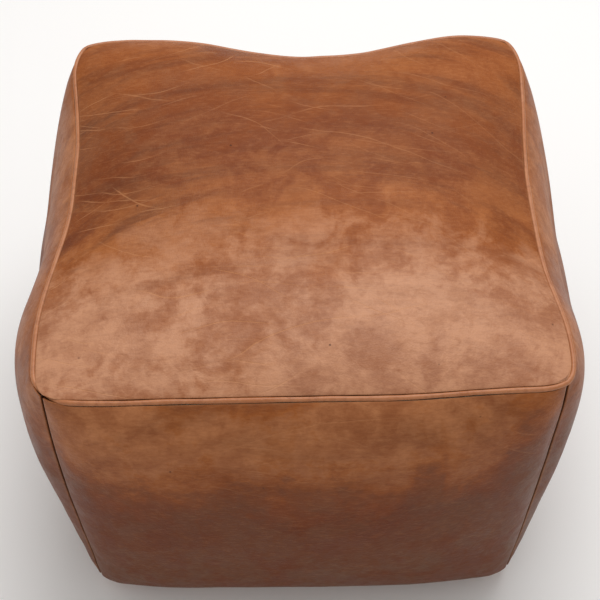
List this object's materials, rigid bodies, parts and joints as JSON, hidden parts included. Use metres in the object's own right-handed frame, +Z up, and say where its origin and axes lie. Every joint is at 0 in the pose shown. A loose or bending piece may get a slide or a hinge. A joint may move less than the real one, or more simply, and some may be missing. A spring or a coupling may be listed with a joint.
{
  "type": "moroccan leather pouf",
  "caption": "Square stuffed leather pouf with crowned sides, a piped top seam, cotton linings, a filled inner bag and a zip across its base with a sliding pull.",
  "frame": {"origin": "on the floor under the middle of the base", "axes": "+Z up; -Y is the front side; +X is the right side, where the zip closes"},
  "size_m": [0.5664, 0.5664, 0.422],
  "materials": {
    "top_leather": "satin",
    "side_leather": "satin",
    "base_leather": "satin",
    "piping_leather": "satin",
    "lining_cotton": "matte",
    "piping_cord": "matte",
    "bag_cotton": "matte",
    "stuffing": "matte",
    "zip_tape": "matte",
    "zip_metal": "satin",
    "thread": "matte"
  },
  "bodies": {
    "pouf": {"top_panel": "top_leather", "front_panel": "side_leather", "right_panel": "side_leather", "back_panel": "side_leather", "left_panel": "side_leather", "base_panel_front": "base_leather", "base_panel_back": "base_leather", "top_lining": "lining_cotton", "front_lining": "lining_cotton", "right_lining": "lining_cotton", "back_lining": "lining_cotton", "left_lining": "lining_cotton", "base_lining_front": "lining_cotton", "base_lining_back": "lining_cotton", "top_welt": "piping_leather", "top_welt_cord": "piping_cord", "bag_top": "bag_cotton", "bag_front": "bag_cotton", "bag_right": "bag_cotton", "bag_back": "bag_cotton", "bag_left": "bag_cotton", "bag_base": "bag_cotton", "filling": "stuffing", "zip_tape_front": "zip_tape", "zip_tape_back": "zip_tape", "zip_teeth_front": "zip_metal", "zip_teeth_back": "zip_metal", "zip_top_stops": "zip_metal", "zip_bottom_stop": "zip_metal", "zip_stitches_front": "thread", "zip_stitches_back": "thread"},
    "zip_slider": {"zip_slider": "zip_metal"},
    "zip_pull": {"zip_pull": "zip_metal"}
  },
  "joints": [
    {"name": "zip_slide", "type": "slide", "parent": "pouf", "child": "zip_slider", "axis": [-1, 0, 0], "range_m": [0, 0.3634]},
    {"name": "pull_swing", "type": "hinge", "parent": "zip_slider", "child": "zip_pull", "pos_m": [0.1837, 0, 0.00668], "axis": [0, -1, 0], "range_deg": [0, 180]}
  ]
}
